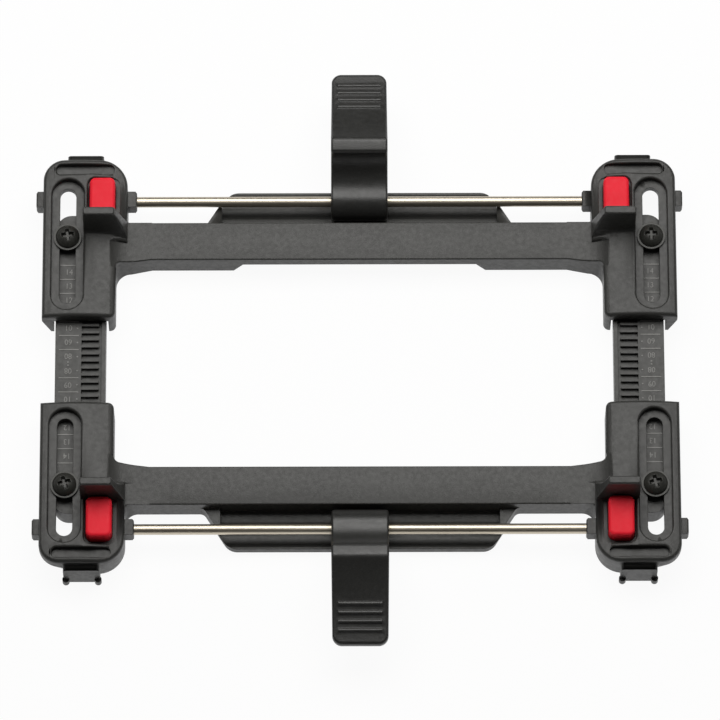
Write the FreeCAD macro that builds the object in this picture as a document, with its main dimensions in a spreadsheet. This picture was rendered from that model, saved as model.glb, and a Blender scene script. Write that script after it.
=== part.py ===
"""Clip-on adapter that fixes a basket to the side tubes of a bicycle rack.

Two moulded frames slide on two toothed scale bars and are clamped there by four screws.
Each frame carries a spring rod with a clamping lever, and two soft pads for the rack tube.
X runs along the rack, Y across it and Z towards it; the basket side lies on Z = 0.
"""
import FreeCAD, Part
import math
import os
import re

import Sketcher

SIZES = {
    # setting of the two frames
    "frame_gap": 30.0,
    # scale bars
    "bar_spacing": 185.5,
    "bar_width": 16.7,
    "bar_height": 9.0,
    "bar_length": 105.6,
    "bar_corner": 5.0,
    "bar_skin": 3.2,
    "bar_wall": 2.2,
    "bar_rib": 1.6,
    "bar_hollow_length": 70.0,
    "tooth_pitch": 2.5,
    "tooth_gap": 1.6,
    "tooth_depth": 1.3,
    "tooth_width": 6.7,
    "tooth_edge": 1.3,
    "tooth_margin": 3.0,
    "tooth_channel": 0.9,
    # clamping screws and washers
    "screw_inset": 9.0,
    "screw_offset": 4.55,
    "shank_diameter": 3.9,
    "shank_length": 11.5,
    "head_diameter": 7.9,
    "head_height": 2.7,
    "head_rim": 0.5,
    "recess_span": 5.2,
    "recess_width": 1.6,
    "recess_depth": 1.7,
    "recess_floor_span": 3.0,
    "recess_floor_width": 0.8,
    "washer_diameter": 9.4,
    "washer_thickness": 0.9,
    "pilot_play": 0.05,
    "washer_play": 0.25,
    "seat_play": 0.05,
    # end block: sleeve round each scale bar and housing at its outer end
    "bar_side_gap": 0.8,
    "bar_top_gap": 0.25,
    "sleeve_skin": 2.55,
    "sleeve_wall_in": 2.3,
    "sleeve_wall_out": 3.7,
    "mouth_corner": 2.0,
    "crown_top": 14.3,
    "crown_radius": 60.0,
    "block_edge": 1.3,
    "block_draft_out": 2.7,
    "end_draft_out": 2.3,
    "end_draft_in": 0.7,
    "slot_start": 5.4,
    "slot_length": 41.0,
    "slot_width": 5.4,
    "slot_land": 2.65,
    "frame_length": 56.3,
    "end_wall": 3.0,
    "housing_start": 27.4,
    "housing_wall_in": 6.1,
    "housing_corner_out": 7.0,
    "housing_corner_in": 9.0,
    "scoop_width": 3.4,
    "scoop_length": 19.5,
    "scoop_inset": 3.6,
    "scoop_corner": 1.5,
    "scoop_floor": 12.0,
    "tab_width": 12.0,
    "tab_depth": 2.1,
    "tab_height": 11.5,
    "tab_corner": 1.2,
    "tab_nub": 1.15,
    "tab_nub_inset": 0.7,
    "tab_nub_height": 3.0,
    "ear_side": 5.5,
    "ear_out": 2.4,
    "ear_in": 3.1,
    "ear_edge": 0.5,
    # lug that stops the rack tube
    "lug_height": 27.0,
    "lug_top_depth": 2.9,
    "lug_base_depth": 7.2,
    "lug_hollow": 30.0,
    "lug_slant": 4.0,
    "lug_face": 34.3,
    "lug_lean": 0.3,
    "lug_edge": 0.6,
    # soft pad under the rack tube
    "pad_width": 8.5,
    "pad_length": 14.0,
    "pad_top": 17.6,
    "pad_floor": 10.7,
    "pad_corner": 2.2,
    "pad_edge": 1.2,
    "pad_play": 0.15,
    "pad_from_cavity": 2.1,
    "peg_diameter": 4.0,
    "peg_play": 0.05,
    "peg_end_gap": 0.15,
    "pan_margin": 1.6,
    "pan_wall": 1.2,
    "pan_floor": 12.4,
    "pan_end": 1.3,
    "pan_corner": 2.5,
    # cross-bar of each frame
    "cross_inner": 21.6,
    "cross_width": 13.3,
    "cross_height": 10.0,
    "cross_skin": 2.5,
    "cross_wall": 2.0,
    "cross_rib": 1.6,
    "cross_edge": 0.45,
    "foot_web": 4.2,
    "top_web": 0.8,
    "flare_length": 12.0,
    "foot_flare": 1.4,
    "foot_fillet": 5.0,
    "top_flare": 1.2,
    "top_fillet": 2.2,
    "blend_run": 3.0,
    "blend_radius": 18.0,
    "relief_half": 42.1,
    "relief_height": 5.4,
    "relief_slant": 3.2,
    "relief_depth": 5.0,
    # cradle under each lever
    "cradle_half_base": 51.6,
    "cradle_half_edge": 43.2,
    "cradle_reach": 48.2,
    "cradle_lip": 3.1,
    "cradle_corner": 5.0,
    "cradle_fillet": 2.5,
    "cradle_gap": 0.35,
    "web_length": 5.5,
    "web_gap": 0.3,
    # spring rod
    "rod_diameter": 3.5,
    "rod_inset": 43.0,
    "rod_height": 8.2,
    "rod_play": 0.05,
    "rod_socket_wall": 1.4,
    "rod_end_play": 0.1,
    "rod_chamfer": 0.3,
    # clamping lever
    "lever_width": 18.9,
    "lever_tip_width": 18.4,
    "hub_radius": 6.4,
    "hub_play": 0.05,
    "hook_radius": 11.0,
    "hook_thickness": 3.6,
    "knee_length": 4.3,
    "heel_gap": 0.05,
    "thumb_reach": 42.7,
    "thumb_radius": 69.0,
    "thumb_centre_out": 51.1,
    "thumb_centre_up": 77.2,
    "thumb_thickness": 3.0,
    "tip_corner": 3.2,
    "ridge_length": 14.4,
    "ridge_radius": 0.9,
    "ridge_height": 0.5,
    "ridge_inset": 4.6,
    "ridge_pitch": 2.9,
}
CROSS_CELLS = 5
BAR_CELLS = 5
LEVER_RIDGES = 4
# Where the recess of each screw points when the screw is tight, in degrees
SCREW_TURNS = {"left_front": 2.0, "left_rear": 8.0, "right_front": 14.0, "right_rear": 17.0}

# Lines that several pieces share, measured from the middle of the adapter or from a frame's inner end
BAR_X = "bar_spacing / 2"
CAVITY_IN = f"({BAR_X} - bar_width / 2 - bar_side_gap)"
CAVITY_OUT = f"({BAR_X} + bar_width / 2 + bar_side_gap)"
CAVITY_TOP = "(bar_height + bar_top_gap)"
CAVITY_END = "(frame_length - end_wall)"
SLEEVE_IN = f"({CAVITY_IN} - sleeve_wall_in)"
SLEEVE_OUT = f"({CAVITY_OUT} + sleeve_wall_out)"
SLEEVE_MID = f"(({SLEEVE_IN} + {SLEEVE_OUT}) / 2)"
HOUSING_IN = f"({CAVITY_IN} - housing_wall_in)"
HOUSING_MID = f"(({HOUSING_IN} + {SLEEVE_OUT}) / 2)"
SLOT_X = f"({BAR_X} + screw_offset)"
SLOT_FLOOR = f"({CAVITY_TOP} + sleeve_skin)"
SLOT_SIDE = f"({SLOT_X} - slot_width / 2 - slot_land)"
CROSS_OUTER = "(cross_inner + cross_width)"
PAD_IN = f"({CAVITY_IN} - pad_from_cavity)"
PAD_X = f"({PAD_IN} + pad_width / 2)"
PAD_START = "(lug_face + pad_play)"
PAD_MID = f"({PAD_START} + pad_length / 2)"
ROD_END = f"({CAVITY_IN} - rod_socket_wall - rod_end_play)"
ROD_RADIUS = "(rod_diameter / 2)"
EAR_TIP = f"({HOUSING_IN} - ear_in)"
CRADLE_RADIUS = "(hub_radius + cradle_gap)"
SCREW_Y = "(bar_length / 2 - screw_inset)"

SIDES = {"left": 1, "right": -1}
ENDS = {"front": 1, "rear": -1}

doc = FreeCAD.newDocument("rack_adapter")
sheet = doc.addObject("Spreadsheet::Sheet", "Sizes")
for row, (alias, size) in enumerate(SIZES.items(), start=1):
    sheet.set(f"A{row}", alias)
    sheet.set(f"B{row}", str(size))
    sheet.setAlias(f"B{row}", alias)
doc.recompute()


def cells(formula):
    """The formula with each size written as a cell of the sheet."""
    return re.sub(r"\b[a-z_]+\b", lambda word: f"Sizes.{word[0]}" if word[0] in SIZES else word[0], formula)


def value(formula):
    return float(sheet.evalExpression(cells(formula)))


def bind(thing, path, formula):
    thing.setExpression(path, cells(formula))


def new_body(name, x="0", y="0", z="0", turn=0.0):
    body = doc.addObject("PartDesign::Body", name)
    body.Label = name
    body.Placement.Rotation = FreeCAD.Rotation(FreeCAD.Vector(0, 0, 1), turn)
    for axis, formula in zip("xyz", (x, y, z)):
        bind(body, f"Placement.Base.{axis}", formula)
    return body


def new_sketch(body, name, plane, offset="0"):
    sketch = body.newObject("Sketcher::SketchObject", f"{body.Name}_{name}")
    support = next(item for item in body.Origin.OriginFeatures if item.Role == plane)
    sketch.AttachmentSupport = [(support, "")]
    sketch.MapMode = "FlatFace"
    bind(sketch, "AttachmentOffset.Base.z", offset)
    return sketch


def constrain(sketch, formula, *terms):
    index = sketch.addConstraint(Sketcher.Constraint(*terms, value(formula)))
    bind(sketch, f"Constraints[{index}]", formula)


def place_point(sketch, element, position, x, y):
    constrain(sketch, x, "DistanceX", -1, 1, element, position)
    constrain(sketch, y, "DistanceY", -1, 1, element, position)


def arc_between(start, end, radius):
    """Arc from start to end that bulges right of the way there, or left for a negative radius."""
    chord = end - start
    half = chord.Length / 2
    rise = abs(radius) - math.sqrt(max(radius**2 - half**2, 0.0))
    aside = FreeCAD.Vector(chord.y, -chord.x, 0).normalize() * math.copysign(rise, radius)
    return Part.Arc(start, (start + end) / 2 + aside, end)


def outline(sketch, corners, arcs=None):
    """Closed outline through the corners; arcs gives the radius of the stretch after a corner."""
    arcs = arcs or {}
    points = [FreeCAD.Vector(value(x), value(y), 0) for x, y in corners]
    stretches = []
    for index, start in enumerate(points):
        end = points[(index + 1) % len(points)]
        if index in arcs:
            curve = arc_between(start, end, value(arcs[index]))
        else:
            curve = Part.LineSegment(start, end)
        element = sketch.addGeometry(curve)
        forward = sketch.getPoint(element, 1).isEqual(start, 1e-6)
        stretches.append((element, 1 if forward else 2, 2 if forward else 1))
    for index, (element, first, last) in enumerate(stretches):
        following, following_first, _ = stretches[(index + 1) % len(stretches)]
        sketch.addConstraint(Sketcher.Constraint("Coincident", element, last, following, following_first))
        place_point(sketch, element, first, *corners[index])
        if index in arcs:
            constrain(sketch, f"abs({arcs[index]})", "Radius", element)
    return sketch


def rectangle(sketch, x_low, x_high, y_low, y_high):
    return outline(sketch, [(x_low, y_low), (x_high, y_low), (x_high, y_high), (x_low, y_high)])


def rounded_rectangle(sketch, x_low, x_high, y_low, y_high, radius):
    corners = [
        (f"{x_low} + {radius}", y_low),
        (f"{x_high} - {radius}", y_low),
        (x_high, f"{y_low} + {radius}"),
        (x_high, f"{y_high} - {radius}"),
        (f"{x_high} - {radius}", y_high),
        (f"{x_low} + {radius}", y_high),
        (x_low, f"{y_high} - {radius}"),
        (x_low, f"{y_low} + {radius}"),
    ]
    return outline(sketch, corners, {1: radius, 3: radius, 5: radius, 7: radius})


def circle(sketch, x, y, radius):
    centre = FreeCAD.Vector(value(x), value(y), 0)
    element = sketch.addGeometry(Part.Circle(centre, FreeCAD.Vector(0, 0, 1), value(radius)))
    place_point(sketch, element, 3, x, y)
    constrain(sketch, radius, "Radius", element)
    return sketch


def long_hole(sketch, x, y_low, y_high, width):
    """Slot along Y with round ends, from y_low to y_high over all."""
    radius = f"({width}) / 2"
    low_y = f"{y_low} + {radius}"
    high_y = f"{y_high} - {radius}"
    reach = value(radius)
    low = FreeCAD.Vector(value(x), value(low_y), 0)
    high = FreeCAD.Vector(value(x), value(high_y), 0)
    aside = FreeCAD.Vector(reach, 0, 0)
    up = FreeCAD.Vector(0, 0, 1)
    top = sketch.addGeometry(Part.ArcOfCircle(Part.Circle(high, up, reach), 0, math.pi))
    left = sketch.addGeometry(Part.LineSegment(high - aside, low - aside))
    bottom = sketch.addGeometry(Part.ArcOfCircle(Part.Circle(low, up, reach), math.pi, 2 * math.pi))
    right = sketch.addGeometry(Part.LineSegment(low + aside, high + aside))
    for first, second in ((top, left), (left, bottom), (bottom, right), (right, top)):
        sketch.addConstraint(Sketcher.Constraint("Tangent", first, 2, second, 1))
    sketch.addConstraint(Sketcher.Constraint("Equal", top, bottom))
    place_point(sketch, top, 3, x, high_y)
    place_point(sketch, bottom, 3, x, low_y)
    constrain(sketch, radius, "Radius", top)
    return sketch


def pad(body, sketch, length, backwards=False, both_ways=False):
    feature = body.newObject("PartDesign::Pad", f"{sketch.Name}_pad")
    feature.Profile = sketch
    feature.Reversed = backwards
    feature.Midplane = both_ways
    bind(feature, "Length", length)
    doc.recompute()
    return feature


def pocket(body, sketch, length=None, backwards=False, both_ways=False):
    """Cut against the sketch's normal, or along it when backwards; through everything without a length."""
    before = body.Shape.Volume
    feature = body.newObject("PartDesign::Pocket", f"{sketch.Name}_cut")
    feature.Profile = sketch
    feature.Reversed = backwards
    feature.Midplane = both_ways
    if length is None:
        feature.Type = "ThroughAll"
    else:
        bind(feature, "Length", length)
    doc.recompute()
    if body.Shape.Volume >= before:
        raise RuntimeError(f"{feature.Name} cuts nothing")
    return feature


def in_a_row(body, feature, axis, span, count):
    """Repeat the feature along one of the body's origin axes, count times over the span."""
    row = body.newObject("PartDesign::LinearPattern", f"{feature.Name}_row")
    row.Originals = [feature]
    row.Direction = (next(item for item in body.Origin.OriginFeatures if item.Role == axis), [""])
    bind(row, "Length", span)
    row.Occurrences = count
    body.Tip = row
    doc.recompute()
    return row


def dress(body, kind, name, radius, chosen):
    """Fillet or chamfer on the edges of the body's tip that chosen accepts by their middle point."""
    base = body.Tip
    names = []
    for index, edge in enumerate(base.Shape.Edges, start=1):
        middle = edge.valueAt((edge.FirstParameter + edge.LastParameter) / 2)
        if chosen(edge, middle):
            names.append(f"Edge{index}")
    if not names:
        raise RuntimeError(f"{body.Name} has no edge for {name}")
    feature = body.newObject(f"PartDesign::{kind}", f"{body.Name}_{name}")
    feature.Base = (base, names)
    bind(feature, "Radius" if kind == "Fillet" else "Size", radius)
    doc.recompute()
    return feature


def near(number, formula):
    return abs(number - value(formula)) < 1e-3


def crown(x):
    """Height of the end block's crowned top at x."""
    return f"(crown_top - crown_radius + sqrt(crown_radius ^ 2 - ({x} - {SLEEVE_MID}) ^ 2))"


def loft(body, name, low, high, kind="Additive"):
    """Straight-sided solid or cut between two sketches."""
    feature = body.newObject(f"PartDesign::{kind}Loft", f"{body.Name}_{name}")
    feature.Profile = low
    feature.Sections = [high]
    feature.Ruled = True
    doc.recompute()
    return feature


def make_cross_bar(frame):
    """Half of the cross-bar; at its end the foot flares further into the end block than the top."""
    flare_start = f"({SLEEVE_IN} - flare_length)"
    straight = new_sketch(frame, "cross", "XY_Plane")
    rectangle(straight, "0", flare_start, "cross_inner", CROSS_OUTER)
    pad(frame, straight, "cross_height")
    dress(frame, "Fillet", "cross_edges", "cross_edge", lambda edge, middle: (
        near(middle.z, "cross_height") and near(middle.x, f"{flare_start} / 2")))

    def section(name, height, flare, fillet, web):
        sketch = new_sketch(frame, name, "XY_Plane", height)
        return outline(sketch, [
            (flare_start, "cross_inner"),
            (f"{SLEEVE_IN} - {fillet}", f"cross_inner - {flare}"),
            (SLEEVE_IN, f"cross_inner - {flare} - {fillet}"),
            (CAVITY_IN, f"cross_inner - {flare} - {fillet}"),
            (CAVITY_IN, f"{CROSS_OUTER} + {web}"),
            (HOUSING_IN, f"{CROSS_OUTER} + {web}"),
            (f"{HOUSING_IN} - {web}", CROSS_OUTER),
            (flare_start, CROSS_OUTER),
        ], {1: f"-{fillet}", 5: f"-{web}"})

    foot = section("flare_foot", "0", "foot_flare", "foot_fillet", "foot_web")
    top = section("flare_top", "cross_height", "top_flare", "top_fillet", "top_web")
    loft(frame, "flare", foot, top)


def make_end_block(frame):
    """Sleeve and housing in one, drafted outside below the bar's top and crowned above."""
    def plan(name, height, draft_out, end_out, end_in):
        sketch = new_sketch(frame, name, "XY_Plane", height)
        out = f"{SLEEVE_OUT} - {draft_out}"
        outer_end, inner_end = f"frame_length - {end_out}", f"frame_length - {end_in}"
        return outline(sketch, [
            (f"{SLEEVE_IN} + mouth_corner", "0"),
            (out, "0"),
            (out, f"{outer_end} - housing_corner_out"),
            (f"{out} - housing_corner_out", outer_end),
            (f"{HOUSING_IN} + housing_corner_in", inner_end),
            (HOUSING_IN, f"{inner_end} - housing_corner_in"),
            (HOUSING_IN, "housing_start"),
            (SLEEVE_IN, "housing_start"),
            (SLEEVE_IN, "mouth_corner"),
        ], {2: "housing_corner_out", 4: "housing_corner_in", 8: "mouth_corner"})

    upright = ("0",) * 3
    foot = plan("block_foot", "0", "block_draft_out", "end_draft_out", "end_draft_in")
    loft(frame, "block_walls", foot, plan("block_rim", CAVITY_TOP, *upright))
    pad(frame, plan("block_top", CAVITY_TOP, *upright), f"crown_top - {CAVITY_TOP}")
    above = new_sketch(frame, "above_crown", "XZ_Plane")
    outline(above, [
        (HOUSING_IN, crown(HOUSING_IN)),
        (HOUSING_IN, "crown_top + block_edge"),
        (SLEEVE_OUT, "crown_top + block_edge"),
        (SLEEVE_OUT, crown(SLEEVE_OUT)),
    ], {3: "crown_radius"})
    pocket(frame, above)
    dress(frame, "Fillet", "block_edges", "block_edge", lambda edge, middle: (
        near(middle.z, crown(str(middle.x)))))


def blend_cross_bar(frame):
    """Rise of the cross-bar's top into the crown of the sleeve."""
    low, high = f"({HOUSING_IN} - blend_run)", f"({SLEEVE_IN} + mouth_corner)"
    start = "(cross_inner - top_flare - top_fillet)"
    slope = "(top_flare / (flare_length - top_fillet))"
    inner = f"(cross_inner - {slope} * ({low} - {SLEEVE_IN} + flare_length))"
    plan = new_sketch(frame, "blend_plan", "XY_Plane", "cross_height - cross_skin / 2")
    outline(plan, [
        (low, inner),
        (f"{SLEEVE_IN} - top_fillet", "cross_inner - top_flare"),
        (SLEEVE_IN, start),
        (high, start),
        (high, "housing_start"),
        (low, "housing_start"),
    ], {1: "-top_fillet"})
    pad(frame, plan, f"{crown(high)} - cross_height + cross_skin / 2")
    above = new_sketch(frame, "above_blend", "XZ_Plane", "-housing_start")
    outline(above, [
        (low, "cross_height"),
        (high, crown(high)),
        (high, "crown_top"),
        (low, "crown_top"),
    ], {0: "blend_radius"})
    pocket(frame, above, f"housing_start - {start}", backwards=True)


def make_tab_and_ears(frame):
    """Tab with two nubs on the outer end, and the square ears in line with the rod."""
    tab_face = "(frame_length + tab_depth)"
    tab_side = [f"{HOUSING_MID} {sign} tab_width / 2" for sign in "-+"]
    tab = new_sketch(frame, "tab", "XZ_Plane", f"-{tab_face}")
    outline(tab, [
        (tab_side[0], "0"),
        (tab_side[1], "0"),
        (tab_side[1], "tab_height - tab_corner"),
        (f"{tab_side[1]} - tab_corner", "tab_height"),
        (f"{tab_side[0]} + tab_corner", "tab_height"),
        (tab_side[0], "tab_height - tab_corner"),
    ], {2: "tab_corner", 4: "tab_corner"})
    pad(frame, tab, "tab_depth + end_wall")
    nubs = new_sketch(frame, "nubs", "XY_Plane")
    circle(nubs, f"{tab_side[0]} + tab_nub_inset", tab_face, "tab_nub")
    circle(nubs, f"{tab_side[1]} - tab_nub_inset", tab_face, "tab_nub")
    pad(frame, nubs, "tab_nub_height")

    ear_box = [f"{line} {sign} ear_side / 2" for line in ("rod_inset", "rod_height") for sign in "-+"]
    inner_ear = new_sketch(frame, "inner_ear", "YZ_Plane", EAR_TIP)
    rectangle(inner_ear, *ear_box)
    pad(frame, inner_ear, "ear_in + rod_socket_wall")
    ear_end = f"({SLEEVE_OUT} + ear_out)"
    outer_ear = new_sketch(frame, "outer_ear", "YZ_Plane", ear_end)
    rectangle(outer_ear, *ear_box)
    pad(frame, outer_ear, "ear_out + sleeve_wall_out / 2", backwards=True)
    dress(frame, "Chamfer", "ear_edges", "ear_edge", lambda edge, middle: (
        near(middle.x, EAR_TIP) or near(middle.x, ear_end)))


def make_lug(frame):
    """Wedge that stops the rack tube: nearly upright towards the pad, hollowed at its back."""
    profile = new_sketch(frame, "lug", "YZ_Plane", HOUSING_IN)
    outline(profile, [
        ("lug_face - lug_base_depth", CAVITY_TOP),
        ("lug_face", CAVITY_TOP),
        ("lug_face - lug_lean", "lug_height"),
        ("lug_face - lug_lean - lug_top_depth", "lug_height"),
    ], {3: "-lug_hollow"})
    pad(frame, profile, f"{SLOT_SIDE} - {HOUSING_IN}")
    slant = new_sketch(frame, "lug_slant", "XZ_Plane", "-lug_face")
    outline(slant, [
        (HOUSING_IN, crown(HOUSING_IN)),
        (f"{HOUSING_IN} + lug_slant", "lug_height"),
        (HOUSING_IN, "lug_height"),
    ])
    pocket(frame, slant, "lug_base_depth", backwards=True)
    dress(frame, "Fillet", "lug_edges", "lug_edge", lambda edge, middle: near(middle.z, "lug_height"))


def make_cradle(frame):
    """Trough round the lever's hub, with a web at its end that backs the rod."""
    lip_run = f"sqrt({CRADLE_RADIUS} ^ 2 - (rod_height - cradle_lip) ^ 2)"
    trough = new_sketch(frame, "cradle", "YZ_Plane")
    outline(trough, [
        (f"{CROSS_OUTER} - cross_wall", "0"),
        ("cradle_reach", "0"),
        ("cradle_reach", "cradle_lip"),
        (f"rod_inset + {lip_run}", "cradle_lip"),
        (f"rod_inset - {lip_run}", "cradle_lip"),
        (f"{CROSS_OUTER} - cross_wall", "cradle_lip"),
    ], {3: f"-{CRADLE_RADIUS}"})
    pad(frame, trough, "cradle_half_base")

    web = new_sketch(frame, "web", "YZ_Plane", "cradle_half_base - web_length")
    web_top = f"rod_height - {ROD_RADIUS} - web_gap"
    rectangle(web, f"{CROSS_OUTER} - cross_wall", "rod_inset", "0", web_top)
    pad(frame, web, "web_length")

    slant = new_sketch(frame, "cradle_end", "XY_Plane")
    beyond = "cradle_half_base + cradle_corner"
    outline(slant, [
        ("cradle_half_base", CROSS_OUTER),
        (beyond, CROSS_OUTER),
        (beyond, "cradle_reach + cradle_corner"),
        ("cradle_half_edge", "cradle_reach + cradle_corner"),
        ("cradle_half_edge", "cradle_reach"),
    ])
    pocket(frame, slant, backwards=True)


def hollow_frame(frame):
    """Cavity for the scale bar and ribbed channel under the cross-bar, both open below."""
    cavity = new_sketch(frame, "cavity", "XY_Plane")
    rectangle(cavity, CAVITY_IN, CAVITY_OUT, "0", CAVITY_END)
    pocket(frame, cavity, CAVITY_TOP, backwards=True)

    pitch = f"(({HOUSING_IN} - cross_wall) / {CROSS_CELLS})"
    cell = new_sketch(frame, "cell", "XY_Plane")
    cell_ends = ("cross_rib / 2", f"{pitch} - cross_rib / 2")
    rectangle(cell, *cell_ends, "cross_inner + cross_wall", f"{CROSS_OUTER} - cross_wall")
    cut = pocket(frame, cell, "cross_height - cross_skin", backwards=True)
    in_a_row(frame, cut, "X_Axis", f"{pitch} * {CROSS_CELLS - 1}", CROSS_CELLS)

    relief = new_sketch(frame, "relief", "XZ_Plane", "-(cross_inner + relief_depth)")
    outline(relief, [
        ("0", "0"),
        ("relief_half", "0"),
        ("relief_half - relief_slant", "relief_height"),
        ("0", "relief_height"),
    ])
    pocket(frame, relief, backwards=True)


def cut_top(frame):
    """Slot for the screw in its recess, seat for the pad and finger scoop."""
    land = new_sketch(frame, "land", "XY_Plane", SLOT_FLOOR)
    slot_end = "slot_start + slot_length"
    land_ends = ("slot_start - slot_land", f"{slot_end} + slot_land")
    long_hole(land, SLOT_X, *land_ends, "slot_width + 2 * slot_land")
    pocket(frame, land, backwards=True)
    slot = new_sketch(frame, "slot", "XY_Plane")
    long_hole(slot, SLOT_X, "slot_start", slot_end, "slot_width")
    pocket(frame, slot, backwards=True)

    pan = new_sketch(frame, "pan", "XY_Plane", "pan_floor")
    pan_low, pan_high = f"{PAD_IN} - pan_margin", f"{SLOT_SIDE} - pan_wall"
    pan_end = f"{PAD_START} + pad_length + pan_end"
    outline(pan, [
        (pan_low, "lug_face"),
        (pan_high, "lug_face"),
        (pan_high, f"{pan_end} - pan_corner"),
        (f"{pan_high} - pan_corner", pan_end),
        (f"{pan_low} + pan_corner", pan_end),
        (pan_low, f"{pan_end} - pan_corner"),
    ], {2: "pan_corner", 4: "pan_corner"})
    pocket(frame, pan, backwards=True)
    seat = new_sketch(frame, "seat", "XY_Plane", "pad_floor")
    seat_sides = (f"{PAD_IN} - pad_play", f"{PAD_IN} + pad_width + pad_play")
    seat_ends = (f"{PAD_START} - pad_play", f"{PAD_START} + pad_length + pad_play")
    rounded_rectangle(seat, *seat_sides, *seat_ends, "pad_corner")
    pocket(frame, seat, backwards=True)
    peg_hole = new_sketch(frame, "peg_hole", "XY_Plane", "pad_floor")
    circle(peg_hole, PAD_X, PAD_MID, "peg_diameter / 2 + peg_play")
    pocket(frame, peg_hole)

    scoop = new_sketch(frame, "scoop", "XY_Plane", "scoop_floor")
    scoop_ends = [f"{HOUSING_MID} {sign} scoop_length / 2" for sign in "-+"]
    scoop_sides = [f"frame_length - scoop_inset {sign} scoop_width / 2" for sign in "-+"]
    rounded_rectangle(scoop, *scoop_ends, *scoop_sides, "scoop_corner")
    pocket(frame, scoop, backwards=True)


def bore_rod_sockets(frame):
    """Blind socket in the housing for the rod's end, through the inner ear."""
    bore = new_sketch(frame, "rod_socket", "YZ_Plane", f"{ROD_END} + rod_end_play")
    circle(bore, "rod_inset", "rod_height", f"{ROD_RADIUS} + rod_play")
    pocket(frame, bore)


def round_cradle(frame):
    """Round the corners of the cradle."""
    def upright(edge):
        return abs(edge.tangentAt(edge.FirstParameter).z) > 0.9

    dress(frame, "Fillet", "cradle_corners", "cradle_corner", lambda edge, middle: (
        upright(edge) and near(middle.y, "cradle_reach")))
    dress(frame, "Fillet", "cradle_roots", "cradle_fillet", lambda edge, middle: (
        upright(edge) and near(middle.y, CROSS_OUTER) and near(middle.x, "cradle_half_base")))


def make_frame(name, side):
    """One moulded frame: half of it is built, then mirrored about its middle."""
    turn = 0.0 if side > 0 else 180.0
    frame = new_body(name, y=f"{side} * frame_gap / 2", turn=turn)
    make_cross_bar(frame)
    make_end_block(frame)
    blend_cross_bar(frame)
    make_tab_and_ears(frame)
    make_lug(frame)
    make_cradle(frame)
    hollow_frame(frame)
    cut_top(frame)
    bore_rod_sockets(frame)
    round_cradle(frame)
    mirrored = frame.newObject("PartDesign::Mirrored", f"{name}_mirrored")
    mirrored.TransformMode = "Whole shape"
    mirror_plane = next(item for item in frame.Origin.OriginFeatures if item.Role == "YZ_Plane")
    mirrored.MirrorPlane = (mirror_plane, [""])
    frame.Tip = mirrored
    doc.recompute()
    return frame


def make_rod(name, side):
    """Spring rod between the two sockets of a frame."""
    rod = new_body(name, y=f"{side} * (frame_gap / 2 + rod_inset)", z="rod_height")
    section = new_sketch(rod, "section", "YZ_Plane")
    circle(section, "0", "0", ROD_RADIUS)
    pad(rod, section, f"2 * {ROD_END}", both_ways=True)
    dress(rod, "Chamfer", "ends", "rod_chamfer", lambda edge, middle: len(edge.Vertexes) == 1)
    return rod


def make_pad(name, side, end):
    """Soft pad in its seat, held by a short peg."""
    turn = 0.0 if side > 0 else 180.0
    pad_body = new_body(name, f"{end} * {PAD_X}", f"{side} * (frame_gap / 2 + {PAD_MID})", "pad_floor", turn)
    half_sides = ("-pad_width / 2", "pad_width / 2", "-pad_length / 2", "pad_length / 2")
    plan = new_sketch(pad_body, "plan", "XY_Plane")
    rounded_rectangle(plan, *half_sides, "pad_corner - pad_play")
    pad(pad_body, plan, "pad_top - pad_floor")
    dress(pad_body, "Fillet", "top_edge", "pad_edge", lambda edge, middle: (
        near(middle.z, "pad_top - pad_floor")))
    peg = new_sketch(pad_body, "peg", "XY_Plane")
    circle(peg, "0", "0", "peg_diameter / 2")
    pad(pad_body, peg, f"pad_floor - {CAVITY_TOP} - peg_end_gap", backwards=True)
    return pad_body


def make_lever(name, side):
    """Clamping lever: hub on the rod, hook round the rack tube, and thumb plate with ridges."""
    turn = 0.0 if side > 0 else 180.0
    lever = new_body(name, y=f"{side} * (frame_gap / 2 + rod_inset)", z="rod_height", turn=turn)
    hook_up = "(hub_radius + hook_radius)"
    back_radius = "(hook_radius + hook_thickness)"
    heel_low = "(cradle_lip + heel_gap - rod_height)"
    heel_in = f"sqrt(hub_radius ^ 2 - {heel_low} ^ 2)"
    knee_out = "(hook_radius + knee_length)"
    under_radius = "(thumb_radius + thumb_thickness)"

    def thumb(out, radius):
        return f"thumb_centre_up - sqrt({radius} ^ 2 - (thumb_centre_out - {out}) ^ 2)"

    profile = new_sketch(lever, "profile", "YZ_Plane")
    outline(profile, [
        ("0", "hub_radius"),
        ("hook_radius", hook_up),
        (knee_out, thumb(knee_out, "thumb_radius")),
        ("thumb_reach", thumb("thumb_reach", "thumb_radius")),
        ("thumb_reach", thumb("thumb_reach", under_radius)),
        (back_radius, thumb(back_radius, under_radius)),
        ("hub_radius", "0"),
        ("hub_radius", heel_low),
        (heel_in, heel_low),
        ("-hub_radius", "0"),
    ], {
        0: "hook_radius",
        2: "thumb_radius",
        4: f"-{under_radius}",
        5: f"-{back_radius}",
        8: "-hub_radius",
        9: "-hub_radius",
    })
    pad(lever, profile, "lever_width", both_ways=True)

    for sign in "-+":
        taper = new_sketch(lever, f"taper_{'left' if sign == '-' else 'right'}", "XY_Plane")
        outline(taper, [
            (f"{sign}lever_width / 2", knee_out),
            (f"{sign}lever_tip_width / 2", "thumb_reach - tip_corner"),
            (f"{sign}(lever_tip_width / 2 - tip_corner)", "thumb_reach"),
            (f"{sign}lever_width / 2", "thumb_reach"),
        ], {1: f"{sign}tip_corner"})
        pocket(lever, taper, both_ways=True)
    bore = new_sketch(lever, "bore", "YZ_Plane")
    circle(bore, "0", "0", f"{ROD_RADIUS} + hub_play")
    pocket(lever, bore, both_ways=True)
    make_ridges(lever)
    return lever


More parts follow.
